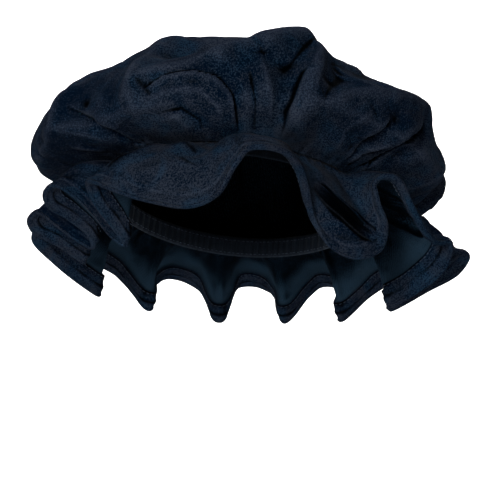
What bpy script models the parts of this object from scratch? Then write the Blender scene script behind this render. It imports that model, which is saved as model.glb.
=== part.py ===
"""A gathered velvet cap: a puffed crown and a deep frill, drawn up on an elastic casing.

The cap is modelled as worn, in metres, with +Z up and the wearer's face towards -Y. Its origin is
the middle of the head opening, in the plane of the gathering line. Azimuths run from the front,
0 degrees, by the wearer's left, +X and 90 degrees, to the back.
"""

import bmesh
import bpy
import numpy as np

MM = 0.001

# Head opening, at the gathering line
HEAD_WIDTH = 168 * MM
HEAD_LENGTH = 204 * MM
TIP_BACK_DEG = 17.0
TIP_LEFT_DEG = 5.5

# Cloth
CLOTH = 1.5 * MM
HEM_FACING = 1.1 * MM
SEAM_GAP = 0.35 * MM

# Elastic casing inside the gathering line
CASING_HEIGHT = 14 * MM
CASING_THICKNESS = 2.0 * MM
CASING_COLUMNS = 60

# Crown
CROWN_RISE = 103 * MM
CROWN_OVERHANG = 49 * MM
CROWN_TOP_BACK = 12 * MM
CROWN_COLUMNS = 84
CROWN_ROWS = 16
GATHERS = 21
GATHER_DEPTH = 2.4 * MM
GATHER_LENGTH = 26 * MM

# Frill
FRILL_WIDTH = 70 * MM
HEM_WIDTH = 15 * MM
FRILL_COLUMNS = 164
FRILL_ROWS = 6

# Crown sections, one row for each direction. out is the belly's reach past the head opening, as a
# share of CROWN_OVERHANG, and level its height, as a share of CROWN_RISE. sag is how far the cloth
# dips below a plain curve between the casing and the belly, as a share of CROWN_OVERHANG, and
# fullness the exponent of the upper curve: 2 is an ellipse, and more is squarer.
CROWN_SECTIONS = (
    # azimuth, out, level, sag, fullness
    (0, 0.38, 0.54, -0.08, 2.0),
    (45, 0.66, 0.40, -0.16, 2.0),
    (90, 0.96, 0.14, 0.00, 1.85),
    (135, 1.10, 0.16, 0.08, 2.1),
    (180, 1.20, 0.20, 0.12, 2.2),
    (225, 1.12, 0.24, 0.08, 2.1),
    (270, 0.98, 0.34, -0.04, 1.75),
    (315, 0.70, 0.44, -0.10, 1.85),
)

# Folds pressed into the crown, one row for each: where it starts and ends, as an azimuth and as a
# share of the way from the casing to the top, and its height and half width as shares of
# CROWN_OVERHANG. A valley has a negative height.
CROWN_FOLDS = (
    # from_azimuth, from_rise, to_azimuth, to_rise, height, half_width
    (-36, 0.30, -8, 0.34, 0.10, 0.26),
    (-8, 0.34, 10, 0.43, 0.16, 0.24),
    (10, 0.43, 36, 0.60, 0.26, 0.26),
    (-34, 0.46, 4, 0.54, -0.12, 0.24),
    (34, 0.54, 18, 0.10, 0.14, 0.20),
    (15, 0.30, 10, 0.10, -0.10, 0.18),
    (26, 0.20, 50, 0.31, 0.12, 0.24),
    (50, 0.31, 84, 0.42, 0.16, 0.28),
    (38, 0.38, 64, 0.48, -0.14, 0.28),
    (84, 0.50, 112, 0.50, 0.10, 0.40),
    (50, 0.24, 42, 0.10, -0.08, 0.16),
    (68, 0.30, 54, 0.12, -0.10, 0.16),
    (-40, 0.62, -35, 0.24, 0.12, 0.20),
    (-54, 0.27, -40, 0.08, -0.14, 0.18),
    (-64, 0.34, -68, 0.18, 0.08, 0.18),
    (56, 0.62, 104, 0.66, -0.30, 0.40),
    (-58, 0.66, -30, 0.70, 0.08, 0.30),
    (-68, 0.18, -96, 0.22, 0.08, 0.18),
    (130, 0.44, 160, 0.30, 0.10, 0.30),
    (196, 0.30, 216, 0.52, 0.12, 0.30),
    (176, 0.50, 190, 0.24, -0.10, 0.20),
    (236, 0.34, 250, 0.20, -0.08, 0.18),
)

# Bends of the frill's hem, one row for each turn of its folds. root is the azimuth on the casing
# that the cloth there hangs from. out, along and up are the way from that root to the hem, away
# from the head, towards larger azimuths and upwards, as shares of FRILL_WIDTH. belly is how far the
# cloth swells out between them, as the same share.
HEM_BENDS = (
    # root, out, along, up, belly
    (2, 0.78, 0.12, -0.08, 0.10),
    (7, 0.73, 0.10, -0.11, 0.10),
    (11, 0.65, 0.06, -0.16, 0.10),
    (16, 0.48, 0.06, -0.32, 0.10),
    (20, 0.36, 0.04, -0.54, 0.10),
    (24, 0.34, 0.10, -0.78, 0.12),
    (28, 0.40, 0.20, -0.86, 0.14),
    (33, 0.46, 0.30, -0.76, 0.06),
    (38, 0.50, 0.20, -0.54, -0.06),
    (42, 0.45, 0.02, -0.29, -0.06),
    (45.5, 0.43, -0.10, -0.14, 0.00),
    (49.5, 0.45, -0.13, -0.03, 0.04),
    (53.5, 0.53, -0.10, -0.03, 0.06),
    (57, 0.58, -0.08, -0.18, 0.10),
    (62, 0.64, -0.07, -0.40, 0.14),
    (67, 0.69, -0.07, -0.46, 0.10),
    (72, 0.77, -0.07, -0.42, 0.06),
    (75, 0.77, -0.11, -0.49, 0.06),
    (78, 0.67, -0.16, -0.64, 0.08),
    (81, 0.42, -0.22, -0.82, 0.10),
    (84, 0.20, -0.28, -0.92, 0.04),
    (86.5, 0.50, -0.22, -0.68, 0.08),
    (89, 0.86, -0.20, -0.38, 0.04),
    (91.5, 0.93, -0.18, -0.40, 0.04),
    (94.5, 0.84, -0.16, -0.54, 0.06),
    (98, 0.58, -0.12, -0.68, 0.10),
    (104, 0.30, -0.10, -0.82, 0.05),
    (112, 0.64, -0.08, -0.54, 0.10),
    (119, 0.74, 0.00, -0.42, 0.10),
    (126, 0.62, 0.06, -0.52, 0.10),
    (134, 0.30, 0.00, -0.80, 0.05),
    (143, 0.68, -0.06, -0.48, 0.10),
    (151, 0.72, 0.04, -0.42, 0.10),
    (160, 0.34, 0.00, -0.78, 0.05),
    (169, 0.70, -0.04, -0.46, 0.10),
    (177, 0.72, 0.06, -0.42, 0.10),
    (186, 0.32, 0.00, -0.80, 0.05),
    (194, 0.66, -0.08, -0.50, 0.10),
    (201, 0.74, 0.00, -0.40, 0.10),
    (208, 0.60, 0.06, -0.54, 0.10),
    (216, 0.32, 0.00, -0.80, 0.05),
    (224, 0.66, -0.06, -0.48, 0.10),
    (232, 0.72, 0.04, -0.42, 0.10),
    (239, 0.56, 0.06, -0.60, 0.10),
    (246, 0.26, 0.04, -0.84, 0.05),
    (252, 0.34, 0.08, -0.78, 0.05),
    (257, 0.54, 0.12, -0.62, 0.10),
    (261, 0.72, 0.16, -0.42, 0.08),
    (264, 0.62, 0.18, -0.33, 0.10),
    (267, 0.44, 0.14, -0.50, 0.12),
    (270, 0.22, 0.06, -0.70, 0.04),
    (273, 0.46, 0.02, -0.56, 0.12),
    (275.5, 0.68, 0.00, -0.46, 0.10),
    (278, 0.73, 0.00, -0.37, 0.10),
    (280.5, 0.64, 0.02, -0.32, 0.10),
    (283, 0.46, 0.06, -0.47, 0.12),
    (285.5, 0.30, 0.08, -0.61, 0.08),
    (287.5, 0.20, 0.08, -0.68, 0.03),
    (289.5, 0.24, 0.04, -0.58, 0.03),
    (292, 0.42, -0.03, -0.45, 0.08),
    (295, 0.60, -0.12, -0.36, 0.10),
    (298, 0.65, -0.15, -0.27, 0.10),
    (301, 0.60, -0.12, -0.23, 0.10),
    (304, 0.48, -0.04, -0.34, 0.12),
    (307, 0.37, 0.01, -0.52, 0.12),
    (310, 0.27, 0.02, -0.70, 0.08),
    (313, 0.18, 0.02, -0.80, 0.02),
    (316, 0.28, -0.08, -0.66, 0.02),
    (319, 0.46, -0.20, -0.45, 0.03),
    (322, 0.56, -0.26, -0.31, 0.06),
    (326, 0.60, -0.27, -0.32, 0.08),
    (331, 0.57, -0.22, -0.41, 0.14),
    (336, 0.54, -0.02, -0.52, 0.18),
    (342, 0.52, 0.12, -0.57, 0.18),
    (348, 0.55, 0.18, -0.47, 0.16),
    (353, 0.64, 0.16, -0.23, 0.12),
    (357, 0.75, 0.14, -0.10, 0.10),
)


def rotation(degrees, axis):
    """The turn by an angle about X (axis 0) or Y (axis 1), as a matrix."""
    c, s = np.cos(np.radians(degrees)), np.sin(np.radians(degrees))
    if axis == 0:
        return np.array([[1, 0, 0], [0, c, -s], [0, s, c]])
    return np.array([[c, 0, s], [0, 1, 0], [-s, 0, c]])


# The worn opening leans up at the forehead and down on the wearer's left.
LEAN = rotation(TIP_LEFT_DEG, 1) @ rotation(-TIP_BACK_DEG, 0)


def outward(azimuth):
    angle = np.radians(azimuth)
    return np.stack([np.sin(angle), -np.cos(angle), 0 * angle], axis=-1)


def onward(azimuth):
    angle = np.radians(azimuth)
    return np.stack([np.cos(angle), np.sin(angle), 0 * angle], axis=-1)


def unit(vectors):
    return vectors / np.linalg.norm(vectors, axis=-1, keepdims=True)


def ring(azimuth, grow=0.0, lift=0.0):
    """Points of the gathering line, grow outside it and lift along the head opening's axis."""
    angle = np.radians(azimuth)
    across = (HEAD_WIDTH / 2 + grow) * np.sin(angle)
    forward = -(HEAD_LENGTH / 2 + grow) * np.cos(angle)
    return np.stack([across, forward, lift + 0 * angle], axis=-1) @ LEAN.T


def round_table(table, azimuth):
    """The columns of a table with even steps of azimuth, smoothly blended at the azimuths."""
    rows = np.array(table, float)[:, 1:]
    place = np.asarray(azimuth, float) % 360 / (360 / len(rows))
    index = np.floor(place).astype(int)
    share = (place - index)[..., None]
    before, start, end, after = (rows[(index + k) % len(rows)] for k in (-1, 0, 1, 2))
    return 0.5 * (
        2 * start
        + (end - before) * share
        + (2 * before - 5 * start + 4 * end - after) * share**2
        + (3 * start - before - 3 * end + after) * share**3
    )


def gather_wave(azimuth):
    """Uneven gathers round the casing, from 0 to 1."""
    angle = np.radians(azimuth)
    return 0.5 + 0.5 * np.sin(GATHERS * angle + 1.6 * np.sin(3 * angle) + 1.1 * np.sin(5 * angle + 1))


def crown_smooth(azimuth, rise, steps=40):
    """Points of the crown without its folds, for arrays of azimuths and of shares of its rise."""
    out, level, sag, fullness = np.moveaxis(round_table(CROWN_SECTIONS, azimuth), -1, 0)
    foot = ring(azimuth)
    away = unit(foot * [1, 1, 0])
    belly = (foot + away * (out * CROWN_OVERHANG)[..., None]) * [1, 1, 0]
    belly[..., 2] = level * CROWN_RISE
    top = np.array([0, CROWN_TOP_BACK, CROWN_RISE])
    quarter = np.linspace(0, np.pi / 2, steps)
    lines = []
    for turn in quarter[:-1]:
        point = foot + (belly - foot) * [np.sin(turn), np.sin(turn), 1 - np.cos(turn)]
        point[..., 2] -= sag * CROWN_OVERHANG * np.sin(2 * turn)
        lines.append(point)
    for turn in quarter:
        power = 2 / fullness
        point = top + (belly - top) * [1, 1, 0] * (max(np.cos(turn), 0) ** power)[..., None]
        point[..., 2] = belly[..., 2] + (top[2] - belly[..., 2]) * np.sin(turn) ** power
        lines.append(point)
    lines = np.array(lines)
    lengths = np.linalg.norm(np.diff(lines, axis=0), axis=-1)
    along = np.concatenate([0 * lengths[:1], np.cumsum(lengths, axis=0)])
    along /= along[-1]
    index = np.clip((along <= rise).sum(axis=0) - 1, 0, len(lines) - 2)
    picked = tuple(np.indices(index.shape))
    low, high = along[(index, *picked)], along[(index + 1, *picked)]
    share = ((rise - low) / np.maximum(high - low, 1e-12))[..., None]
    return lines[(index, *picked)] * (1 - share) + lines[(index + 1, *picked)] * share


def distance_to_line(points, line):
    """How far each point is from a line through several points."""
    nearest = np.full(points.shape[:-1], np.inf)
    for start, end in zip(line[:-1], line[1:]):
        along = end - start
        share = np.clip((points - start) @ along / (along @ along), 0, 1)[..., None]
        nearest = np.minimum(nearest, np.linalg.norm(points - start - share * along, axis=-1))
    return nearest


def crown_points(azimuth, rise):
    """Points of the crown's outer face, with its folds and gathers."""
    smooth = crown_smooth(azimuth, rise)
    heart = np.array([0, CROWN_TOP_BACK, 0.3 * CROWN_RISE])
    ridge = np.zeros(smooth.shape[:-1])
    valley = ridge.copy()
    for from_azimuth, from_rise, to_azimuth, to_rise, height, half_width in CROWN_FOLDS:
        azimuths = np.linspace(from_azimuth, to_azimuth, 9)
        line = crown_smooth(azimuths, np.linspace(from_rise, to_rise, 9))
        distance = distance_to_line(smooth, line)
        lift = height * CROWN_OVERHANG * np.exp(-((distance / (half_width * CROWN_OVERHANG)) ** 2))
        ridge = np.maximum(ridge, lift)
        valley = np.minimum(valley, lift)
    from_casing = np.linalg.norm(smooth - ring(azimuth), axis=-1)
    free = np.clip(from_casing / GATHER_LENGTH, 0, 1)
    lift = (ridge + valley) * np.minimum(1, 2 * free)
    points = smooth + unit(smooth - heart) * lift[..., None]
    gathers = GATHER_DEPTH * gather_wave(azimuth) * (1 - free) * (0.35 + free)
    return points + outward(azimuth) * gathers[..., None] + [0, 0, SEAM_GAP / 2]


def hem_curve(count):
    """The hem in steps that are shorter where it turns: the rows of HEM_BENDS, in columns."""
    bends = np.array(HEM_BENDS, float)
    lap = np.array([360, 0, 0, 0, 0])
    knots = np.concatenate([bends[-1:] - lap, bends, bends[:2] + lap])
    gaps = np.sqrt(np.linalg.norm(np.diff(frill_line(knots, 1), axis=0), axis=1))[:, None]
    slope = np.diff(knots, axis=0) / gaps
    tangent = (slope[:-1] * gaps[1:] + slope[1:] * gaps[:-1]) / (gaps[:-1] + gaps[1:])
    samples = []
    for index in range(len(bends)):
        start, end = knots[index + 1], knots[index + 2]
        gap = gaps[index + 1]
        for share in np.linspace(0, 1, 24, endpoint=False):
            samples.append(
                start * (1 + 2 * share) * (1 - share) ** 2
                + end * share**2 * (3 - 2 * share)
                + gap * tangent[index] * share * (1 - share) ** 2
                - gap * tangent[index + 1] * share**2 * (1 - share)
            )
    samples = np.array(samples + [samples[0] + lap])
    steps = np.diff(frill_line(samples, 1), axis=0)
    length = np.linalg.norm(steps, axis=1)
    ahead = unit(steps)
    turn = np.arccos(np.clip((ahead * np.roll(ahead, 1, axis=0)).sum(axis=1), -1, 1))
    pace = length / length.sum() + turn / turn.sum()
    passed = np.concatenate([[0], np.cumsum(pace)])
    at = np.linspace(0, passed[-1], count)
    return np.column_stack([np.interp(at, passed, column) for column in samples.T])


def frill_line(bends, share):
    """Points at a share of the way from the casing to the hem, for rows like those of HEM_BENDS."""
    root, out, along, up, belly = bends.T
    reach = (out * share)[:, None] * outward(root) + (along * share**1.7)[:, None] * onward(root)
    reach[:, 2] = up * share
    whole = out[:, None] * outward(root) + [0, 0, 1] * up[:, None]
    swell = outward(root) + [0, 0, 1]
    swell = unit(swell - unit(whole) * (swell * unit(whole)).sum(axis=1, keepdims=True))
    reach += swell * (belly * np.sin(np.pi * share))[:, None]
    free = min(share * FRILL_WIDTH / GATHER_LENGTH, 1)
    gathers = GATHER_DEPTH * gather_wave(root) * (1 - free) * (0.35 + free)
    return ring(root, lift=-SEAM_GAP / 2) + FRILL_WIDTH * reach + outward(root) * gathers[:, None]


def frill_grid(shares):
    """Points of the frill's outer face, in rows from the casing to the hem, and their normals."""
    bends = hem_curve(FRILL_COLUMNS + 1)
    points = np.array([frill_line(bends, share) for share in shares])
    below = [frill_line(bends, max(share, 0.03)) for share in shares]
    above = [frill_line(bends, max(share, 0.03) - 0.03) for share in shares]
    lap = points[:, :-1]
    side = np.roll(lap, -1, axis=1) - np.roll(lap, 1, axis=1)
    side = np.concatenate([side, side[:, :1]], axis=1)
    return points, unit(np.cross(np.subtract(below, above), side))


def sheet_mesh(name, points):
    """A sheet round the head from a grid of points, rows by columns. Its last column lies on its
    first, and where its last row lies on its first too, it is a closed body."""
    rows, columns = points.shape[:2]
    mesh = bmesh.new()
    bmesh.ops.create_grid(mesh, x_segments=columns - 1, y_segments=rows - 1, size=1)
    for vertex in mesh.verts:
        column = round((vertex.co.x + 1) / 2 * (columns - 1))
        row = round((vertex.co.y + 1) / 2 * (rows - 1))
        vertex.co = points[row, column]
    bmesh.ops.remove_doubles(mesh, verts=mesh.verts, dist=0.001 * MM)
    bmesh.ops.triangulate(mesh, faces=mesh.faces, quad_method="SHORT_EDGE")
    if not any(edge.is_boundary for edge in mesh.edges):
        bmesh.ops.recalc_face_normals(mesh, faces=mesh.faces)
    mesh.normal_update()
    data = bpy.data.meshes.new(name)
    mesh.to_mesh(data)
    mesh.free()
    return data


def cloth_material(name, colour, roughness, sheen):
    material = bpy.data.materials.new(name)
    material.use_nodes = True
    shader = material.node_tree.nodes["Principled BSDF"]
    shader.inputs["Base Color"].default_value = (*colour, 1)
    shader.inputs["Roughness"].default_value = roughness
    shader.inputs["Metallic"].default_value = 0
    shader.inputs["Sheen Weight"].default_value = sheen
    return material


def cloth_object(name, points, material, thickness=0.0):
    """A closed body of cloth, with a wall of the given thickness where its points have none."""
    data = sheet_mesh(name, points)
    data.shade_smooth()
    data.materials.append(material)
    cloth = bpy.data.objects.new(name, data)
    if thickness:
        wall = cloth.modifiers.new("wall", "SOLIDIFY")
        wall.thickness = thickness
        wall.offset = -1
    return cloth


def build():
    for item in list(bpy.data.objects):
        bpy.data.objects.remove(item)
    cap = bpy.data.collections.new("gathered_cap")
    bpy.context.scene.collection.children.link(cap)
    velvet = cloth_material("navy_velvet", (0.007, 0.012, 0.022), 0.9, 0.6)
    tape = cloth_material("navy_tape", (0.012, 0.02, 0.032), 0.8, 0.1)

    azimuth = np.linspace(0, 360, CROWN_COLUMNS + 1)
    rise = np.linspace(0, 1, CROWN_ROWS + 1) ** 1.25
    around, up = np.meshgrid(azimuth, rise)
    cap.objects.link(cloth_object("crown", crown_points(around, up), velvet, CLOTH))

    shares = np.append(np.linspace(0, 1 - HEM_WIDTH / FRILL_WIDTH, FRILL_ROWS), 1)
    face, normals = frill_grid(shares)
    back = face - CLOTH * normals
    body = np.concatenate([face, back[::-1], face[:1]])
    cap.objects.link(cloth_object("frill", body, velvet))

    near = (face - (CLOTH + SEAM_GAP) * normals)[-2:]
    far = (face - (CLOTH + SEAM_GAP + HEM_FACING) * normals)[-2:]
    body = np.concatenate([near[::-1], far, near[-1:]])
    cap.objects.link(cloth_object("hem_facing", body, velvet))

    azimuth = np.linspace(0, 360, CASING_COLUMNS + 1)
    lift = [-CASING_HEIGHT / 2, CASING_HEIGHT / 2]
    around, up = np.meshgrid(azimuth, lift)
    band = ring(around, -CLOTH - SEAM_GAP, up)
    cap.objects.link(cloth_object("elastic_casing", band, tape, CASING_THICKNESS))


build()
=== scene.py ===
"""A gathered velvet cap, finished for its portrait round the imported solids.

Everything is in metres, with +Z up and the front of the cap towards -Y. Azimuths run from the
front, 0 degrees, by the wearer's left, +X and 90 degrees, to the back. The large shapes repeat the
values of the part's source, and the pleats, creases and puckers are added here.
"""

import bmesh
import bpy
import numpy as np
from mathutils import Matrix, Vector


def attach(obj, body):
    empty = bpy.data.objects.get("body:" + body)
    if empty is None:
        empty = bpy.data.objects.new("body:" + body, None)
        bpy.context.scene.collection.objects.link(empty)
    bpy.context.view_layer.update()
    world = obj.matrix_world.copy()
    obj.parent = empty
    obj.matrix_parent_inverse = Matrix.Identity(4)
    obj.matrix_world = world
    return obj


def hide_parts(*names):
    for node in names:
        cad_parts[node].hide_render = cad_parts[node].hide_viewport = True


MM = 0.001

# The photograph's camera
CAMERA_PLACE = (0.0017, -0.9, -0.032)
SENSOR = 36.0
FOCAL_SHARE = 1397 / 500

# Head opening, at the gathering line
HEAD_WIDTH = 168 * MM
HEAD_LENGTH = 204 * MM
TIP_BACK_DEG = 17.0
TIP_LEFT_DEG = 5.5

# Cloth
CLOTH = 1.3 * MM

# Sizes of the UV maps, across the cloth's face and back and along it
CROWN_MAP = (0.45, 0.95)
FRILL_MAP = (0.16, 1.55)
CASING_MAP = (0.03, 0.58)

# Elastic casing inside the gathering line
CASING_HEIGHT = 14 * MM
CASING_THICKNESS = 1.8 * MM
CASING_INSET = 2.0 * MM
CASING_BACK_SHARE = 0.99
CASING_THINNING = 0.5
CASING_PUCKER = 0.8 * MM
CASING_PUCKERS = 96
PUCKER_FADE = 0.6
CASING_COLUMNS = 900
CASING_ROWS = 12
CASING_SEAM_ROWS = (15, 23)

# Stitches
STITCH_PITCH = 3.2 * MM
STITCH_LENGTH = 2.3 * MM
STITCH_THICKNESS = 0.55 * MM
STITCH_PROUD = 0.1 * MM

# Crown
CROWN_RISE = 103 * MM
CROWN_OVERHANG = 49 * MM
CROWN_TOP_BACK = 12 * MM
CROWN_HEART_SHARE = 0.3
CROWN_COLUMNS = 520
CROWN_ROWS = 129
CROWN_ROW_PACE = 1.25
CROWN_LINING_STEP = 3
FRONT_DENSITY = 0.3

# Edges of laps, creases and tucks
LAP_EDGE = 0.8 * MM
CREASE_EDGE = 1.0 * MM
TUCK_EDGE = 1.2 * MM

# How many steps of the mesh beyond a tuck its shade reaches on the wrong side
TUCK_SPREAD = 7

# How the cloth's relief is measured: passes of smoothing, and the height that counts as a full fold
# where the mesh's cells have the usual area
RELIEF_SCALES = ((4, 0.30 * MM), (12, 0.9 * MM))
RELIEF_CELL = 1.5 * MM * MM

# The part of the relief that doesn't show in the cloth's colour as painted highlight on folds and
# painted shade in creases
RELIEF_FLOOR = 0.22

# Folds and creases on the sides and the rear of the crown, which fan out of the gathering line
REAR_SEED = 8
REAR_FOLDS = 26
REAR_SPAN_DEG = (98, 262)
REAR_HEIGHTS = (3.0, 7.0)
REAR_HALF_WIDTHS = (4.5, 11.0)
REAR_RISES = (0.30, 0.80)
REAR_LAPS = (-2.0, 0.0, 0.0, 2.0)
REAR_SLANT_DEG = 16

# Gathers at the casing, on the crown and the frill
GATHERS = 21
GATHER_DEPTH = 2.4 * MM
GATHER_START = 0.35
GATHER_LENGTH = 26 * MM

# Fine pleats that fan out of the gathering line
PLEAT_SEED = 11
PLEATS = 116
PLEAT_HEIGHT = 2.8 * MM
PLEAT_WIDTHS = (1.6 * MM, 3.8 * MM)
PLEAT_LENGTHS = (7 * MM, 46 * MM)
PLEAT_START = 0.4
PLEAT_RISE = 9 * MM
CROWN_PLEAT_REACH = 60 * MM
FRILL_PLEAT_REACH = 46 * MM

# Slow uneven swelling of the cloth, one row for each: its height, wavelength and seed
CROWN_RIPPLES = ((0.7 * MM, 38 * MM, 3), (0.3 * MM, 14 * MM, 4))
FRILL_RIPPLES = ((0.6 * MM, 30 * MM, 5), (0.25 * MM, 11 * MM, 6))
RIPPLE_WAVES = 14

# Frill
FRILL_WIDTH = 70 * MM
FRILL_COLUMNS = 960
FRILL_ROWS = 46
FRILL_ROW_PACE = 0.9
FRILL_SLANT_POWER = 1.7
NORMAL_STEP = 0.03
CREASE_REACH_DEG = 3
LOBE_ROOT_DEG = 29
LOBE_REACH_DEG = 9
LOBE_DENSITY = 1.2

# Hem of the frill, and the rounded turn at its edge
HEM_THICKNESS = 3.6 * MM
HEM_WIDTH = 18 * MM
HEM_TURNS_DEG = (22, 45, 68, 90, 112, 135, 158)
FACING_TUCK = 0.4 * MM

# The hem's roll and the groove above it: height, place above the hem and half width
HEM_FORMS = ((1.2 * MM, 3 * MM, 2.6 * MM), (-0.6 * MM, 8 * MM, 1.6 * MM))

# Shares of the way to the hem where a change starts, and how long it takes
PLAIN_NORMALS = (0.6, 0.2)
# RIM is where the painted highlight on the hem's roll begins and folds show less
RIM = (0.88, 0.05)
# BACK_LIGHTER is where the wrong side's painted shade, dark near the casing, fades towards the hem
BACK_LIGHTER = (0.35, 0.35)

# How light the cloth's nap is drawn, from 0 to 1: its own tone, the frill lighter as painted sheen
# where it faces up and the rim lighter still as a painted highlight on the hem's roll, and how much
# folds show on the rim
CLOTH_NAP_TONE = 0.5
FRILL_PAINTED_SHEEN = 0.58
RIM_PAINTED_HIGHLIGHT = 0.7
RIM_CRISP = 0.3

# Painted shade on the wrong side under the arch at the temple, and how dark the crown's wrong side is
# drawn
TEMPLE_ROOT_DEG = 57
TEMPLE_WIDTH_DEG = 14
TEMPLE_SHADE = 0.9
LINING_NAP_TONE = 0.1

# How strongly the noise of patches, grain and clouds of blue shows, and how far ribs waver
PATCH_CONTRAST = 4.0
GRAIN_CONTRAST = 3.0
CLOUD_CONTRAST = 4.0
CLOUD_START = 1.7
RIB_WAVER = 6.0

# Crown sections, one row for each direction. out is the belly's reach past the head opening, as a
# share of CROWN_OVERHANG, and level its height, as a share of CROWN_RISE. sag is how far the cloth
# dips below a plain curve between the casing and the belly, as a share of CROWN_OVERHANG, and
# fullness the exponent of the upper curve: 2 is an ellipse, and more is squarer.
CROWN_SECTIONS = (
    # azimuth, out, level, sag, fullness
    (0, 0.38, 0.54, -0.08, 2),
    (45, 0.66, 0.4, -0.16, 2),
    (90, 0.96, 0.14, 0, 1.85),
    (135, 1.1, 0.16, 0.08, 2.1),
    (180, 1.2, 0.2, 0.12, 2.2),
    (225, 1.12, 0.24, 0.08, 2.1),
    (270, 0.98, 0.34, -0.04, 1.75),
    (315, 0.7, 0.44, -0.1, 1.85),
)

# Folds pressed into the crown, one row for each: where it starts and ends, as an azimuth and as a
# share of the way from the casing to the top, and its height and half width as shares of
# CROWN_OVERHANG. A valley has a negative height.
CROWN_FOLDS = (
    # from_azimuth, from_rise, to_azimuth, to_rise, height, half_width
    (-36, 0.3, -8, 0.34, 0.1, 0.26),
    (-8, 0.34, 10, 0.43, 0.16, 0.24),
    (10, 0.43, 36, 0.6, 0.26, 0.26),
    (-34, 0.46, 4, 0.54, -0.12, 0.24),
    (34, 0.54, 18, 0.1, 0.14, 0.2),
    (15, 0.3, 10, 0.1, -0.1, 0.18),
    (26, 0.2, 50, 0.31, 0.12, 0.24),
    (50, 0.31, 84, 0.42, 0.16, 0.28),
    (38, 0.38, 64, 0.48, -0.14, 0.28),
    (84, 0.5, 112, 0.5, 0.1, 0.4),
    (50, 0.24, 42, 0.1, -0.08, 0.16),
    (68, 0.3, 54, 0.12, -0.1, 0.16),
    (-40, 0.62, -35, 0.24, 0.12, 0.2),
    (-54, 0.27, -40, 0.08, -0.14, 0.18),
    (-64, 0.34, -68, 0.18, 0.08, 0.18),
    (56, 0.62, 104, 0.66, -0.3, 0.4),
    (-58, 0.66, -30, 0.7, 0.08, 0.3),
    (-68, 0.18, -96, 0.22, 0.08, 0.18),
    (130, 0.44, 160, 0.3, 0.1, 0.3),
    (196, 0.3, 216, 0.52, 0.12, 0.3),
    (176, 0.5, 190, 0.24, -0.1, 0.2),
    (236, 0.34, 250, 0.2, -0.08, 0.18),
)

# Creases in the crown's cloth, one row for each: height, half width and lap in millimetres, then
# the points that it runs through, as azimuths and shares of the way from the casing to the top. A
# crease that sinks has a negative height. lap is how far the cloth on the left of its run, seen
# from outside, is laid over the cloth on its right, and the cloth on the right if it is negative.
CROWN_CREASES = (
    # height, half_width, lap, ((azimuth, rise), ...)
    (5, 8, 0, (
        (-36, 0.28), (-31, 0.3), (-18, 0.3), (-12, 0.34), (-3, 0.39), (7, 0.44), (20, 0.53), (33, 0.62),
    )),
    (5.5, 7, 0, ((30, 0.6), (30, 0.43), (24, 0.34), (21, 0.26), (19, 0.2), (17, 0.12), (19, 0.03))),
    (3.6, 6, 2.4, ((21, 0.3), (18, 0.23), (15, 0.15), (14, 0.04))),
    (5.5, 7, 0, ((18, 0.19), (24, 0.185), (29, 0.215), (34, 0.26), (46, 0.3), (63, 0.36), (80, 0.41))),
    (-5, 9, 0, ((24, 0.28), (30, 0.27), (37, 0.34))),
    (2.6, 4, 0, ((38, 0.42), (40, 0.36), (43, 0.29))),
    (3, 5, -2.2, ((49, 0.24), (42, 0.15), (42, 0.04))),
    (3, 4.5, -2.2, ((69, 0.33), (55, 0.21), (50, 0.05))),
    (2.4, 3.5, 1.8, ((67, 0.27), (57, 0.19), (54, 0.06))),
    (2.4, 4, -1.8, ((53, 0.17), (47, 0.11), (45, 0.03))),
    (4, 6, 0, ((41, 0.23), (34, 0.14), (36, 0.02))),
    (3.4, 5, 0, ((6, 0.35), (9, 0.19), (9, 0.04))),
    (-3, 3, 0, ((2, 0.28), (4, 0.16), (4, 0.03))),
    (4, 7, 0, ((-40, 0.56), (-36, 0.34), (-36, 0.28), (-33, 0.2), (-34, 0.05))),
    (3, 5, -2, ((-30, 0.24), (-24, 0.26), (-16, 0.26), (-9, 0.235), (-4, 0.18), (-2, 0.05))),
    (2.4, 3.4, 0, ((-32, 0.2), (-22, 0.21), (-14, 0.2), (-8, 0.14), (-7, 0.03))),
    (-2.4, 2.8, 0, ((-30, 0.16), (-20, 0.16), (-15, 0.11), (-14, 0.02))),
    (2.2, 3.2, 0, ((-29, 0.12), (-22, 0.12), (-19, 0.07), (-19, 0.01))),
    (4.4, 7, 3, ((-60, 0.29), (-48, 0.22), (-43, 0.15), (-40, 0.03))),
    (4, 8, 0, ((-62, 0.22), (-53, 0.14), (-49, 0.05))),
    (4.5, 6, 0, ((-64, 0.4), (-63, 0.3), (-63, 0.23), (-66, 0.2), (-76, 0.18), (-98, 0.2))),
    (2.2, 3.5, 2, ((-65, 0.15), (-56, 0.07))),
    (-5.5, 8, 0, ((-34, 0.43), (-21, 0.51), (2, 0.52))),
    (3, 6, 0, ((-56, 0.5), (-44, 0.58), (-30, 0.68))),
    (-3.4, 6, 0, ((-76, 0.5), (-62, 0.58), (-48, 0.68))),
    (3.4, 7, 0, ((-100, 0.38), (-86, 0.46), (-70, 0.58))),
    (-3.4, 4, 0, ((-84, 0.38), (-80, 0.22), (-76, 0.05))),
    (3.4, 5, 0, ((-104, 0.36), (-98, 0.2), (-96, 0.04))),
    (-3.4, 7, 0, ((68, 0.55), (84, 0.62), (106, 0.64))),
    (3, 5, 0, ((84, 0.32), (78, 0.18), (72, 0.04))),
    (-3.4, 3.6, 0, ((96, 0.36), (88, 0.2), (82, 0.05))),
)

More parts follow.
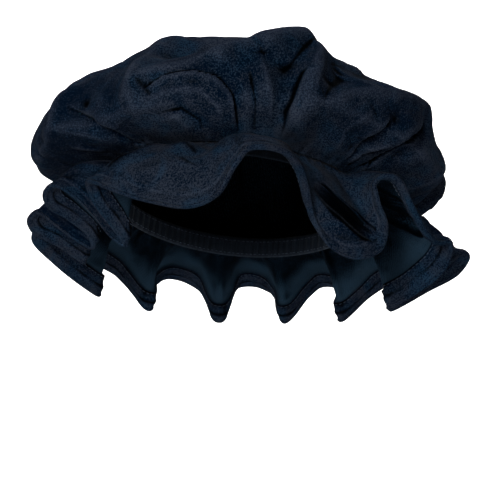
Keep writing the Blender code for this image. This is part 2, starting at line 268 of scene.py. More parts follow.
# Bends of the frill's hem, one row for each turn of its folds. root is the azimuth on the casing
# that the cloth there hangs from. out, along and up are the way from that root to the hem, away
# from the head, towards larger azimuths and upwards, as shares of FRILL_WIDTH. belly is how far the
# cloth swells out between them, as the same share.
HEM_BENDS = (
    # root, out, along, up, belly
    (2, 0.78, 0.12, -0.08, 0.1),
    (7, 0.73, 0.1, -0.11, 0.1),
    (11, 0.65, 0.06, -0.16, 0.1),
    (16, 0.48, 0.06, -0.32, 0.1),
    (20, 0.36, 0.04, -0.54, 0.1),
    (24, 0.34, 0.1, -0.78, 0.12),
    (28, 0.4, 0.2, -0.86, 0.14),
    (33, 0.46, 0.3, -0.76, 0.06),
    (38, 0.5, 0.2, -0.54, -0.06),
    (42, 0.45, 0.02, -0.29, -0.06),
    (45.5, 0.43, -0.1, -0.14, 0),
    (49.5, 0.45, -0.13, -0.03, 0.04),
    (53.5, 0.53, -0.1, -0.03, 0.06),
    (57, 0.58, -0.08, -0.18, 0.1),
    (62, 0.64, -0.07, -0.4, 0.14),
    (67, 0.69, -0.07, -0.46, 0.1),
    (72, 0.77, -0.07, -0.42, 0.06),
    (75, 0.77, -0.11, -0.49, 0.06),
    (78, 0.67, -0.16, -0.64, 0.08),
    (81, 0.42, -0.22, -0.82, 0.1),
    (84, 0.2, -0.28, -0.92, 0.04),
    (86.5, 0.5, -0.22, -0.68, 0.08),
    (89, 0.86, -0.2, -0.38, 0.04),
    (91.5, 0.93, -0.18, -0.4, 0.04),
    (94.5, 0.84, -0.16, -0.54, 0.06),
    (98, 0.58, -0.12, -0.68, 0.1),
    (104, 0.3, -0.1, -0.82, 0.05),
    (112, 0.64, -0.08, -0.54, 0.1),
    (119, 0.74, 0, -0.42, 0.1),
    (126, 0.62, 0.06, -0.52, 0.1),
    (134, 0.3, 0, -0.8, 0.05),
    (143, 0.68, -0.06, -0.48, 0.1),
    (151, 0.72, 0.04, -0.42, 0.1),
    (160, 0.34, 0, -0.78, 0.05),
    (169, 0.7, -0.04, -0.46, 0.1),
    (177, 0.72, 0.06, -0.42, 0.1),
    (186, 0.32, 0, -0.8, 0.05),
    (194, 0.66, -0.08, -0.5, 0.1),
    (201, 0.74, 0, -0.4, 0.1),
    (208, 0.6, 0.06, -0.54, 0.1),
    (216, 0.32, 0, -0.8, 0.05),
    (224, 0.66, -0.06, -0.48, 0.1),
    (232, 0.72, 0.04, -0.42, 0.1),
    (239, 0.56, 0.06, -0.6, 0.1),
    (246, 0.26, 0.04, -0.84, 0.05),
    (252, 0.34, 0.08, -0.78, 0.05),
    (257, 0.54, 0.12, -0.62, 0.1),
    (261, 0.72, 0.16, -0.42, 0.08),
    (264, 0.62, 0.18, -0.33, 0.1),
    (267, 0.44, 0.14, -0.5, 0.12),
    (270, 0.22, 0.06, -0.7, 0.04),
    (273, 0.46, 0.02, -0.56, 0.12),
    (275.5, 0.68, 0, -0.46, 0.1),
    (278, 0.73, 0, -0.37, 0.1),
    (280.5, 0.64, 0.02, -0.32, 0.1),
    (283, 0.46, 0.06, -0.47, 0.12),
    (285.5, 0.3, 0.08, -0.61, 0.08),
    (287.5, 0.2, 0.08, -0.68, 0.03),
    (289.5, 0.24, 0.04, -0.58, 0.03),
    (292, 0.42, -0.03, -0.45, 0.08),
    (295, 0.6, -0.12, -0.36, 0.1),
    (298, 0.65, -0.15, -0.27, 0.1),
    (301, 0.6, -0.12, -0.23, 0.1),
    (304, 0.48, -0.04, -0.34, 0.12),
    (307, 0.37, 0.01, -0.52, 0.12),
    (310, 0.27, 0.02, -0.7, 0.08),
    (313, 0.18, 0.02, -0.8, 0.02),
    (316, 0.28, -0.08, -0.66, 0.02),
    (319, 0.46, -0.2, -0.45, 0.03),
    (322, 0.56, -0.26, -0.31, 0.06),
    (326, 0.6, -0.27, -0.32, 0.08),
    (331, 0.57, -0.22, -0.41, 0.14),
    (336, 0.54, -0.02, -0.52, 0.18),
    (342, 0.52, 0.12, -0.57, 0.18),
    (348, 0.55, 0.18, -0.47, 0.16),
    (353, 0.64, 0.16, -0.23, 0.12),
    (357, 0.75, 0.14, -0.1, 0.1),
)

# Creases in the frill's cloth, as in CROWN_CREASES but with points as azimuths of the root and
# shares of the way from the casing to the hem. Those with roots from 52 to 80 show from inside,
# where a crease that sinks stands up.
FRILL_CREASES = (
    # height, half_width, lap, ((root, share), ...)
    (-6, 5, 0, ((56.5, 0.04), (59, 0.2), (62, 0.36), (66, 0.6))),
    (8, 5, 0, ((59.5, 0.04), (61.5, 0.2), (64.5, 0.4), (68.5, 0.62))),
    (-7, 4.5, 0, ((63, 0.04), (65.5, 0.22), (68.5, 0.4), (72, 0.6))),
    (8, 5, 0, ((71, 0.04), (72.8, 0.2), (74.4, 0.45), (75, 0.66))),
    (-7, 4.5, 0, ((77.8, 0.04), (77.6, 0.28), (76.6, 0.5), (76.5, 0.66))),
    (2, 4, 0, ((-18, 0.06), (-20, 0.2), (-26, 0.32))),
    (1.6, 3, 0, ((-21, 0.18), (-17, 0.3), (-15, 0.42))),
    (-2.4, 6, 0, ((-10, 0.1), (-12, 0.3), (-17, 0.55))),
    (2, 7, 0, ((-28, 0.2), (-30, 0.5), (-34, 0.8))),
    (-2, 5, 0, ((8, 0.15), (6, 0.4), (5, 0.65))),
)

# Deep tucks in the frill, each a pocket along a line: how deep it is, how wide its mouth is, how far
# the cloth on the left of the line, seen from outside, stands out over it and how wide that lip
# is, in millimetres, and the azimuth that the pocket faces, then the line's points as above.
FRILL_TUCKS = (
    # depth, mouth, lip, lip_width, faces, ((root, share), ...)
    (5.5, 9, 1.5, 8, 4, (
        (23.6, 0.37), (25.8, 0.45), (27.4, 0.52), (29.3, 0.59), (31, 0.67), (32.5, 0.77), (34.2, 0.9),
    )),
)

# Where the velvet is drawn lighter or darker, partly for the way its nap lies and partly as painted
# light and shade, one row for each place: the place and how far it reaches in millimetres, and the
# change in the cloth's tone there
NAP_AND_PAINTED_SHADES = (
    # across, back, up, reach, change
    (-45, -92, 32, 26, 0.6),
    (5, -104, 32, 26, 0.45),
    (35, -98, 28, 22, 0.5),
    (-92, -62, 18, 16, 0.6),
    (-8, -112, 60, 26, -0.9),
    (-65, -95, 46, 18, -0.8),
    (50, -98, 58, 26, -0.8),
    (85, -75, 44, 28, -0.7),
    (-88, -60, 44, 34, -0.8),
    (-102, -30, -26, 55, -1.2),
    (48, -105, 5, 20, 0.45),
    (70, -95, 12, 18, 0.35),
    (58, -110, -22, 18, -0.4),
    (108, -50, -38, 30, -1),
)

# How much less the painted highlight on folds and the painted shade in creases show for each step
# that the cloth is drawn lighter, up to a limit
SHADE_SOFTNESS = 0.9
SHADE_LIMIT = 0.5

# Lights of the studio
LIGHTS = (
    # name, place, target, size, power, colour
    ("key_light", (-0.35, -1.3, 0.3), (0, 0, 0.02), 0.4, 36, (1, 0.99, 0.97)),
    ("fill_light", (1.1, -1.3, 0.2), (0, 0, 0.0), 1.2, 3, (0.92, 0.96, 1)),
    ("top_light", (0.1, 0.3, 1.3), (0, 0, 0.05), 0.9, 2.2, (1, 0.97, 0.94)),
    ("wall_light", (0, 0.5, 1.2), (0, 2.0, -0.1), 1.2, 80, (1, 1, 1)),
)
AIR_LIGHT = 0.12

# Sweep of floor and wall: its height, front edge, bend, rear and top, and its half width
FLOOR_LEVEL = -0.3
SWEEP_FRONT = -3.0
SWEEP_BEND = 1.1
SWEEP_RADIUS = 0.9
SWEEP_TOP = 3.0
SWEEP_HALF_WIDTH = 4


def rotation(degrees, axis):
    """The turn by an angle about X (axis 0) or Y (axis 1), as a matrix."""
    c, s = np.cos(np.radians(degrees)), np.sin(np.radians(degrees))
    if axis == 0:
        return np.array([[1, 0, 0], [0, c, -s], [0, s, c]])
    return np.array([[c, 0, s], [0, 1, 0], [-s, 0, c]])


# The worn opening leans up at the front and down on the wearer's left.
LEAN = rotation(TIP_LEFT_DEG, 1) @ rotation(-TIP_BACK_DEG, 0)


def outward(azimuth):
    angle = np.radians(azimuth)
    return np.stack([np.sin(angle), -np.cos(angle), 0 * angle], axis=-1)


def unit(vectors):
    return vectors / np.linalg.norm(vectors, axis=-1, keepdims=True)


def hill(distance, reach):
    """1 where the distance is 0, and it falls off smoothly over a reach on both sides."""
    return np.exp(-((distance / reach) ** 2))


def between(ends, share):
    return ends[0] + (ends[1] - ends[0]) * share


def across(rows, axis=1):
    """The way from the neighbour before each point to the one after it, in closed rows."""
    return np.roll(rows, -1, axis=axis) - np.roll(rows, 1, axis=axis)


def ring(azimuth, grow=0.0, lift=0.0):
    """Points of the gathering line, grow outside it and lift along the head opening's axis."""
    angle = np.radians(azimuth)
    aside = (HEAD_WIDTH / 2 + grow) * np.sin(angle)
    forward = -(HEAD_LENGTH / 2 + grow) * np.cos(angle)
    return np.stack([aside, forward, lift + 0 * angle], axis=-1) @ LEAN.T


def round_table(table, azimuth):
    """The columns of a table with even steps of azimuth, smoothly blended at the azimuths."""
    rows = np.array(table, float)[:, 1:]
    place = np.asarray(azimuth, float) % 360 / (360 / len(rows))
    index = np.floor(place).astype(int)
    share = (place - index)[..., None]
    before, start, end, after = (rows[(index + k) % len(rows)] for k in (-1, 0, 1, 2))
    return 0.5 * (
        2 * start
        + (end - before) * share
        + (2 * before - 5 * start + 4 * end - after) * share**2
        + (3 * start - before - 3 * end + after) * share**3
    )


def gathers(azimuth, free):
    """How far uneven gathers stand out. free is how free of the casing the cloth is, 0 to 1."""
    angle = np.radians(azimuth)
    wave = 0.5 + 0.5 * np.sin(GATHERS * angle + 1.6 * np.sin(3 * angle) + 1.1 * np.sin(5 * angle + 1))
    return GATHER_DEPTH * wave * (1 - free) * (GATHER_START + free)


def pleats(azimuth, distance, reach):
    """The lift of fine pleats, at most 0, by azimuth and distance from the casing."""
    draw = np.random.default_rng(PLEAT_SEED)
    pitch = 360 / PLEATS
    radius = (HEAD_WIDTH + HEAD_LENGTH) / 4
    field = np.ones(np.broadcast(azimuth, distance).shape)
    for index in range(PLEATS):
        place = (index + draw.uniform(-0.45, 0.45)) * pitch
        width = draw.uniform(*PLEAT_WIDTHS)
        length = between(PLEAT_LENGTHS, draw.random() ** 2.2)
        slant = draw.normal(0, 0.12)
        depth = draw.uniform(0.45, 1)
        aside = (azimuth - place + 180) % 360 - 180
        aside = np.radians(aside) * radius + slant * distance
        width = width * (1 + distance / (2 * length))
        crease = depth * np.exp(-(np.abs(aside / width) ** 1.6) - (distance / length) ** 2)
        field = np.minimum(field, 1 - crease)
    strength = np.minimum(1, PLEAT_START + distance / PLEAT_RISE) * hill(distance, reach)
    return PLEAT_HEIGHT * strength * (field - 1)


def ripples(points, table):
    """The swelling of the cloth at points in space, for rows like those of CROWN_RIPPLES."""
    total = np.zeros(points.shape[:-1])
    for height, wavelength, seed in table:
        draw = np.random.default_rng(seed)
        for _ in range(RIPPLE_WAVES):
            direction = unit(draw.normal(size=3))
            stretch = 2 * np.pi / (wavelength * draw.uniform(0.7, 1.6))
            wave = np.sin(points @ direction * stretch + draw.uniform(0, 2 * np.pi))
            total += height / np.sqrt(RIPPLE_WAVES) * wave
    return total


def crown_smooth(azimuth, rise, steps=40):
    """Points of the crown without its folds, for arrays of azimuths and of shares of its rise."""
    out, level, sag, fullness = np.moveaxis(round_table(CROWN_SECTIONS, azimuth), -1, 0)
    foot = ring(azimuth)
    away = unit(foot * [1, 1, 0])
    belly = (foot + away * (out * CROWN_OVERHANG)[..., None]) * [1, 1, 0]
    belly[..., 2] = level * CROWN_RISE
    top = np.array([0, CROWN_TOP_BACK, CROWN_RISE])
    quarter = np.linspace(0, np.pi / 2, steps)
    lines = []
    for turn in quarter[:-1]:
        point = foot + (belly - foot) * [np.sin(turn), np.sin(turn), 1 - np.cos(turn)]
        point[..., 2] -= sag * CROWN_OVERHANG * np.sin(2 * turn)
        lines.append(point)
    for turn in quarter:
        power = 2 / fullness
        point = top + (belly - top) * [1, 1, 0] * (max(np.cos(turn), 0) ** power)[..., None]
        point[..., 2] = belly[..., 2] + (top[2] - belly[..., 2]) * np.sin(turn) ** power
        lines.append(point)
    lines = np.array(lines)
    lengths = np.linalg.norm(np.diff(lines, axis=0), axis=-1)
    along = np.concatenate([0 * lengths[:1], np.cumsum(lengths, axis=0)])
    along /= along[-1]
    index = np.clip((along <= rise).sum(axis=0) - 1, 0, len(lines) - 2)
    picked = tuple(np.indices(index.shape))
    low, high = along[(index, *picked)], along[(index + 1, *picked)]
    share = ((rise - low) / np.maximum(high - low, 1e-12))[..., None]
    return lines[(index, *picked)] * (1 - share) + lines[(index + 1, *picked)] * share


def distance_to_line(points, line):
    """How far each point is from a line through several points, its share of the way along, the
    line's direction there and the way from the line to the point."""
    nearest = np.full(points.shape[:-1], np.inf)
    place = np.zeros(points.shape[:-1])
    ahead = np.zeros(points.shape)
    aside = np.zeros(points.shape)
    for index, (start, end) in enumerate(zip(line[:-1], line[1:])):
        along = end - start
        share = np.clip((points - start) @ along / (along @ along), 0, 1)
        off = points - start - share[..., None] * along
        distance = np.linalg.norm(off, axis=-1)
        closer = distance < nearest
        nearest = np.where(closer, distance, nearest)
        place = np.where(closer, (index + share) / (len(line) - 1), place)
        ahead[closer] = unit(along)
        aside[closer] = off[closer]
    return nearest, place, ahead, aside


def smooth_step(value):
    value = np.clip(value, 0, 1)
    return value * value * (3 - 2 * value)


def ramp(value, start, width):
    """A smooth change from 0 to 1 that begins at a start and takes a width."""
    return smooth_step((value - start) / width)


def crease_path(places, surface):
    """A line on a surface that runs straight between places given in the surface's own terms."""
    first, second = np.array(places, float).T
    at = np.linspace(0, len(places) - 1, 4 * len(places))
    knots = np.arange(len(places))
    return surface(np.interp(at, knots, first), np.interp(at, knots, second))


def crease_shift(points, normal, crease, line):
    """How a crease that runs along a line moves the points of the plain cloth."""
    height, half_width, lap = crease[:3]
    distance, place, ahead, aside = distance_to_line(points, line)
    fade = 1 - (2 * place - 1) ** 4
    fall = fade * np.exp((CREASE_EDGE - np.hypot(distance, CREASE_EDGE)) / (half_width * MM))
    if not lap:
        return normal * (height * MM * fall)[..., None]
    over = unit(np.cross(normal, ahead)) * np.sign(lap)
    side = (aside * over).sum(axis=-1)
    upper = smooth_step(0.5 + side / (2 * LAP_EDGE))
    shift = normal * (height * MM * fall * (2 * upper - 1))[..., None]
    return shift - over * (abs(lap) * MM * fall * upper)[..., None]


def tuck_shift(points, tuck, line):
    """How a tuck along a line moves the points of the plain cloth, and how far in they lie."""
    depth, mouth, lip, lip_width, faces = tuck[:5]
    place, ahead, aside = distance_to_line(points, line)[1:]
    faced = outward(faces)
    taper = np.sqrt(1 - (2 * place - 1) ** 4)
    over = unit(np.cross(faced, ahead))
    side = (aside * over).sum(axis=-1)
    distance = np.linalg.norm(aside - (aside @ faced)[..., None] * faced, axis=-1)
    within = (mouth / 2 * MM * taper - distance) / TUCK_EDGE
    sunk = taper * smooth_step(0.5 + within / 2)
    beyond = np.maximum(-within * TUCK_EDGE, 0) / (lip_width * MM)
    raised = lip * taper * np.exp(-(beyond**2)) * smooth_step(0.5 + side / (2 * TUCK_EDGE))
    return faced * MM * (raised - depth * sunk)[..., None], sunk


def rear_creases():
    """Creases as in CROWN_CREASES for the sides and the rear of the crown."""
    draw = np.random.default_rng(REAR_SEED)
    creases = []
    for index in range(REAR_FOLDS):
        azimuth = between(REAR_SPAN_DEG, (index + draw.uniform(0.1, 0.9)) / REAR_FOLDS)
        size = draw.random() ** 1.5
        height = between(REAR_HEIGHTS, size)
        half_width = between(REAR_HALF_WIDTHS, size)
        top = between(REAR_RISES, draw.random() ** 1.4)
        slant = draw.normal(0, 1) * REAR_SLANT_DEG * top
        sign = draw.choice([-1, 1])
        lap = draw.choice(REAR_LAPS) if sign > 0 else 0.0
        bow = draw.normal(0, 0.25) * slant + draw.normal(0, 2)
        places = (
            (azimuth + slant, top),
            (azimuth + slant / 2 + bow, 0.55 * top),
            (azimuth + bow / 3, 0.25 * top),
            (azimuth, 0.02),
        )
        creases.append((sign * height, half_width, lap, places))
    return creases


def crown_points(azimuth, rise):
    """Points of the crown's outer face, with its folds, creases, gathers and pleats."""
    smooth = crown_smooth(azimuth, rise)
    heart = np.array([0, CROWN_TOP_BACK, CROWN_HEART_SHARE * CROWN_RISE])
    normal = unit(smooth - heart)
    ridge = np.zeros(smooth.shape[:-1])
    valley = ridge.copy()
    for from_azimuth, from_rise, to_azimuth, to_rise, height, half_width in CROWN_FOLDS:
        azimuths = np.linspace(from_azimuth, to_azimuth, 9)
        line = crown_smooth(azimuths, np.linspace(from_rise, to_rise, 9))
        distance = distance_to_line(smooth, line)[0]
        lift = height * CROWN_OVERHANG * hill(distance, half_width * CROWN_OVERHANG)
        ridge = np.maximum(ridge, lift)
        valley = np.minimum(valley, lift)
    from_casing = np.linalg.norm(smooth - ring(azimuth), axis=-1)
    free = np.clip(from_casing / GATHER_LENGTH, 0, 1)
    loose = np.minimum(1, 2 * free)
    shift = normal * (ridge + valley)[..., None]
    for crease in (*CROWN_CREASES, *rear_creases()):
        shift += crease_shift(smooth, normal, crease, crease_path(crease[3], crown_smooth))
    shift *= loose[..., None]
    lift = ripples(smooth, CROWN_RIPPLES) * free + pleats(azimuth, from_casing, CROWN_PLEAT_REACH)
    points = smooth + shift + normal * lift[..., None]
    return points + outward(azimuth) * gathers(azimuth, free)[..., None]


def hem_curve(count):
    """The hem in steps that are shorter where it turns: the rows of HEM_BENDS, in columns."""
    bends = np.array(HEM_BENDS, float)
    lap = np.array([360, 0, 0, 0, 0])
    knots = np.concatenate([bends[-1:] - lap, bends, bends[:2] + lap])
    gaps = np.sqrt(np.linalg.norm(np.diff(frill_line(knots, 1), axis=0), axis=1))[:, None]
    slope = np.diff(knots, axis=0) / gaps
    tangent = (slope[:-1] * gaps[1:] + slope[1:] * gaps[:-1]) / (gaps[:-1] + gaps[1:])
    samples = []
    for index in range(len(bends)):
        start, end = knots[index + 1], knots[index + 2]
        gap = gaps[index + 1]
        for share in np.linspace(0, 1, 24, endpoint=False):
            samples.append(
                start * (1 + 2 * share) * (1 - share) ** 2
                + end * share**2 * (3 - 2 * share)
                + gap * tangent[index] * share * (1 - share) ** 2
                - gap * tangent[index + 1] * share**2 * (1 - share)
            )
    samples = np.array(samples + [samples[0] + lap])
    steps = np.diff(frill_line(samples, 1), axis=0)
    length = np.linalg.norm(steps, axis=1)
    ahead = unit(steps)
    turn = np.arccos(np.clip((ahead * np.roll(ahead, 1, axis=0)).sum(axis=1), -1, 1))
    pace = length / length.sum() + turn / turn.sum()
    pace *= 1 + LOBE_DENSITY * hill(samples[1:, 0] - LOBE_ROOT_DEG, LOBE_REACH_DEG)
    passed = np.concatenate([[0], np.cumsum(pace)])
    at = np.linspace(0, passed[-1], count)
    return np.column_stack([np.interp(at, passed, column) for column in samples.T])


def frill_line(bends, share):
    """Points at a share of the way from the casing to the hem, for rows like those of HEM_BENDS."""
    root, out, along, up, belly = bends.T
    slant = along * share**FRILL_SLANT_POWER
    reach = (out * share)[:, None] * outward(root) + slant[:, None] * outward(root + 90)
    reach[:, 2] = up * share
    whole = out[:, None] * outward(root) + [0, 0, 1] * up[:, None]
    swell = outward(root) + [0, 0, 1]
    swell = unit(swell - unit(whole) * (swell * unit(whole)).sum(axis=1, keepdims=True))
    reach += swell * (belly * np.sin(np.pi * share))[:, None]
    free = min(share * FRILL_WIDTH / GATHER_LENGTH, 1)
    return ring(root) + FRILL_WIDTH * reach + outward(root) * gathers(root, free)[:, None]


def frill_grid(shares):
    """Points of the frill's plain outer face, in rows from the casing to the hem, their outward
    normals, the ways down the cloth, and the bends of its columns."""
    bends = hem_curve(FRILL_COLUMNS + 1)
    points = np.array([frill_line(bends, share) for share in shares])
    below = np.array([frill_line(bends, max(share, NORMAL_STEP)) for share in shares])
    above = np.array([frill_line(bends, max(share, NORMAL_STEP) - NORMAL_STEP) for share in shares])
    lap = points[:, :-1]
    side = across(lap)
    side = np.concatenate([side, side[:, :1]], axis=1)
    return points, unit(np.cross(below - above, side)), unit(below - above), bends


def fold_relief(rows):
    """How far each point of a closed body's rows stands out of the cloth round it, from -1 in a
    deep crease to 1 on a sharp fold."""
    lap = rows[:-1, :-1]
    normal = np.cross(across(lap), across(lap, axis=0))
    cell = np.linalg.norm(normal, axis=-1) / 4
    normal /= np.maximum(4 * cell, 1e-15)[..., None]
    relief = np.zeros(lap.shape[:2])
    soft = lap
    for passes, full in RELIEF_SCALES:
        for _ in range(passes):
            round_about = [np.roll(soft, step, axis) for step in (-1, 1) for axis in (0, 1)]
            soft = 0.5 * soft + 0.125 * sum(round_about)
        relief += ((lap - soft) * normal).sum(axis=-1) / full
    relief = np.clip(relief / np.maximum(cell / RELIEF_CELL, 1), -1, 1)
    relief = np.concatenate([relief, relief[:1]])
    return np.concatenate([relief, relief[:, :1]], axis=1)


def placed(name, data):
    thing = bpy.data.objects.new(name, data)
    bpy.context.scene.collection.objects.link(thing)
    return thing


def smooth_body(name, mesh):
    data = bpy.data.meshes.new(name)
    mesh.to_mesh(data)
    mesh.free()
    data.shade_smooth()
    return placed(name, data)


def sheet_body(name, rows, inside, materials, size, nap_and_painted_light=CLOTH_NAP_TONE, crisp=1.0, sunk=0.0):
    """A closed body of cloth round the head from rows of points, the last of them on the first.

    inside is the number of the first row of faces of the cloth's wrong side. size is that of the
    UV map, which runs along the cloth and across it in metres, so that a weave follows it. The
    next value is the cloth's tone at each point, the nap's own lightness together with painted
    light and shade: painted sheen and a painted highlight on the frill and its rim, and painted
    shade on the wrong side and in tucks. crisp is how much the painted highlight on folds and the
    painted shade in creases show, and sunk how much painted shade a tuck lays on each point, from
    its depth in the tuck and spread round it on the wrong side. All are 0 to 1 for each point,
    and the tone goes past that where the nap is very dark or light.
    """
    count, columns = rows.shape[:2]
    width, length = size
    mesh = bmesh.new()
    bmesh.ops.create_grid(mesh, x_segments=columns - 1, y_segments=count - 1, size=1)
    uv = mesh.loops.layers.uv.new("cloth")
    folds = mesh.verts.layers.float.new("relief")
    light_and_tone = mesh.verts.layers.float.new("nap_and_painted_light")
    nap_and_painted_light = np.broadcast_to(nap_and_painted_light, (count, columns))
    steps = np.linalg.norm(np.diff(rows, axis=1), axis=-1).mean(axis=0)
    along = np.concatenate([[0], np.cumsum(steps)]) / steps.sum() * length
    # The relief carries the painted highlight on folds and painted shade in creases, and tucks are
    # painted dark
    relief = fold_relief(rows) * crisp * (1 - sunk) - sunk
    cells = {}
    for vertex in mesh.verts:
        column = round((vertex.co.x + 1) / 2 * (columns - 1))
        row = round((vertex.co.y + 1) / 2 * (count - 1))
        cells[vertex] = (row, column)
    for face in mesh.faces:
        lowest = min(cells[vertex][0] for vertex in face.verts)
        face.material_index = 1 if lowest >= inside else 0
        for loop in face.loops:
            row, column = cells[loop.vert]
            loop[uv].uv = (along[column], row / (count - 1) * width)
    for vertex, (row, column) in cells.items():
        vertex.co = rows[row, column]
        vertex[folds] = relief[row, column]
        vertex[light_and_tone] = nap_and_painted_light[row, column]
    bmesh.ops.remove_doubles(mesh, verts=mesh.verts, dist=0.002 * MM)
    bmesh.ops.recalc_face_normals(mesh, faces=mesh.faces)
    body = smooth_body(name, mesh)
    for material in materials:
        body.data.materials.append(material)
    return body


def grid_normals(points):
    """Outward normals of rows of points that run round the head from the casing upwards."""
    lap = points[:, :-1]
    normals = np.cross(across(lap), np.gradient(lap, axis=0))
    length = np.linalg.norm(normals, axis=-1, keepdims=True)
    normals = np.where(length > 1e-12, normals / np.maximum(length, 1e-12), [0, 0, 1])
    return np.concatenate([normals, normals[:, :1]], axis=1)


def nap_and_painted_shade(points):
    """How much lighter or darker than the rest the cloth is drawn, partly for its nap and partly as
    painted light and shade, and how much the painted highlight on folds and shade in creases show there.
    """
    shade = np.zeros(points.shape[:-1])
    for *place, reach, change in NAP_AND_PAINTED_SHADES:
        distance = np.linalg.norm(points - np.array(place) * MM, axis=-1)
        shade += change * hill(distance, reach * MM)
    return shade, 1 - SHADE_SOFTNESS * np.clip(shade, 0, SHADE_LIMIT)


def make_crown(velvet, wrong_side):
    turn = np.linspace(0, 360, CROWN_COLUMNS + 1)
    azimuth = turn - FRONT_DENSITY * np.degrees(np.sin(np.radians(turn)))
    rise = np.linspace(0, 1, CROWN_ROWS + 1) ** CROWN_ROW_PACE
    around, up = np.meshgrid(azimuth, rise)
    face = crown_points(around, up)
    face[-1] = face[-1].mean(axis=0)
    back = (face - CLOTH * grid_normals(face))[::-CROWN_LINING_STEP]
    back[0] = back[0].mean(axis=0)
    body = np.concatenate([face, back, face[:1]])
    # Lighter and darker places, partly for the nap and partly painted light and shade; the crown's wrong
    # side is drawn dark
    shade, crisp = nap_and_painted_shade(body)
    nap_and_painted_light = CLOTH_NAP_TONE + shade
    nap_and_painted_light[len(face) : -1] = LINING_NAP_TONE
    return sheet_body("crown_cloth", body, len(face), (velvet, wrong_side), CROWN_MAP, nap_and_painted_light, crisp)


def frill_creases(points, normals, bends):
    """How the frill's creases and tucks move its plain points, how far in tucks they lie, and
    which columns the tucks hold."""
    lap = bends[:-1]

    def surface(roots, shares):
        columns = [np.interp(roots % 360, lap[:, 0] % 360, column, period=360) for column in lap.T[1:]]
        rows = np.column_stack([roots, *columns])
        return np.concatenate([frill_line(row[None], share) for row, share in zip(rows, shares)])

    shift = np.zeros(points.shape)
    sunk = np.zeros(points.shape[:2])
    held = np.zeros(len(bends))
    for table in (FRILL_CREASES, FRILL_TUCKS):
        for values in table:
            roots = np.array(values[-1])[:, 0]
            beyond = np.abs((bends[:, 0] - roots.mean() + 180) % 360 - 180) - np.ptp(roots) / 2
            near = 1 - smooth_step(beyond / CREASE_REACH_DEG - 1)
            touched = near > 0
            line = crease_path(values[-1], surface)
            if table is FRILL_CREASES:
                moved = crease_shift(points[:, touched], normals[:, touched], values, line)
            else:
                moved, inside = tuck_shift(points[:, touched], values, line)
                sunk[:, touched] = np.maximum(sunk[:, touched], inside * near[touched])
                held = np.maximum(held, near)
            shift[:, touched] += moved * near[touched][None, :, None]
    return shift, sunk, held


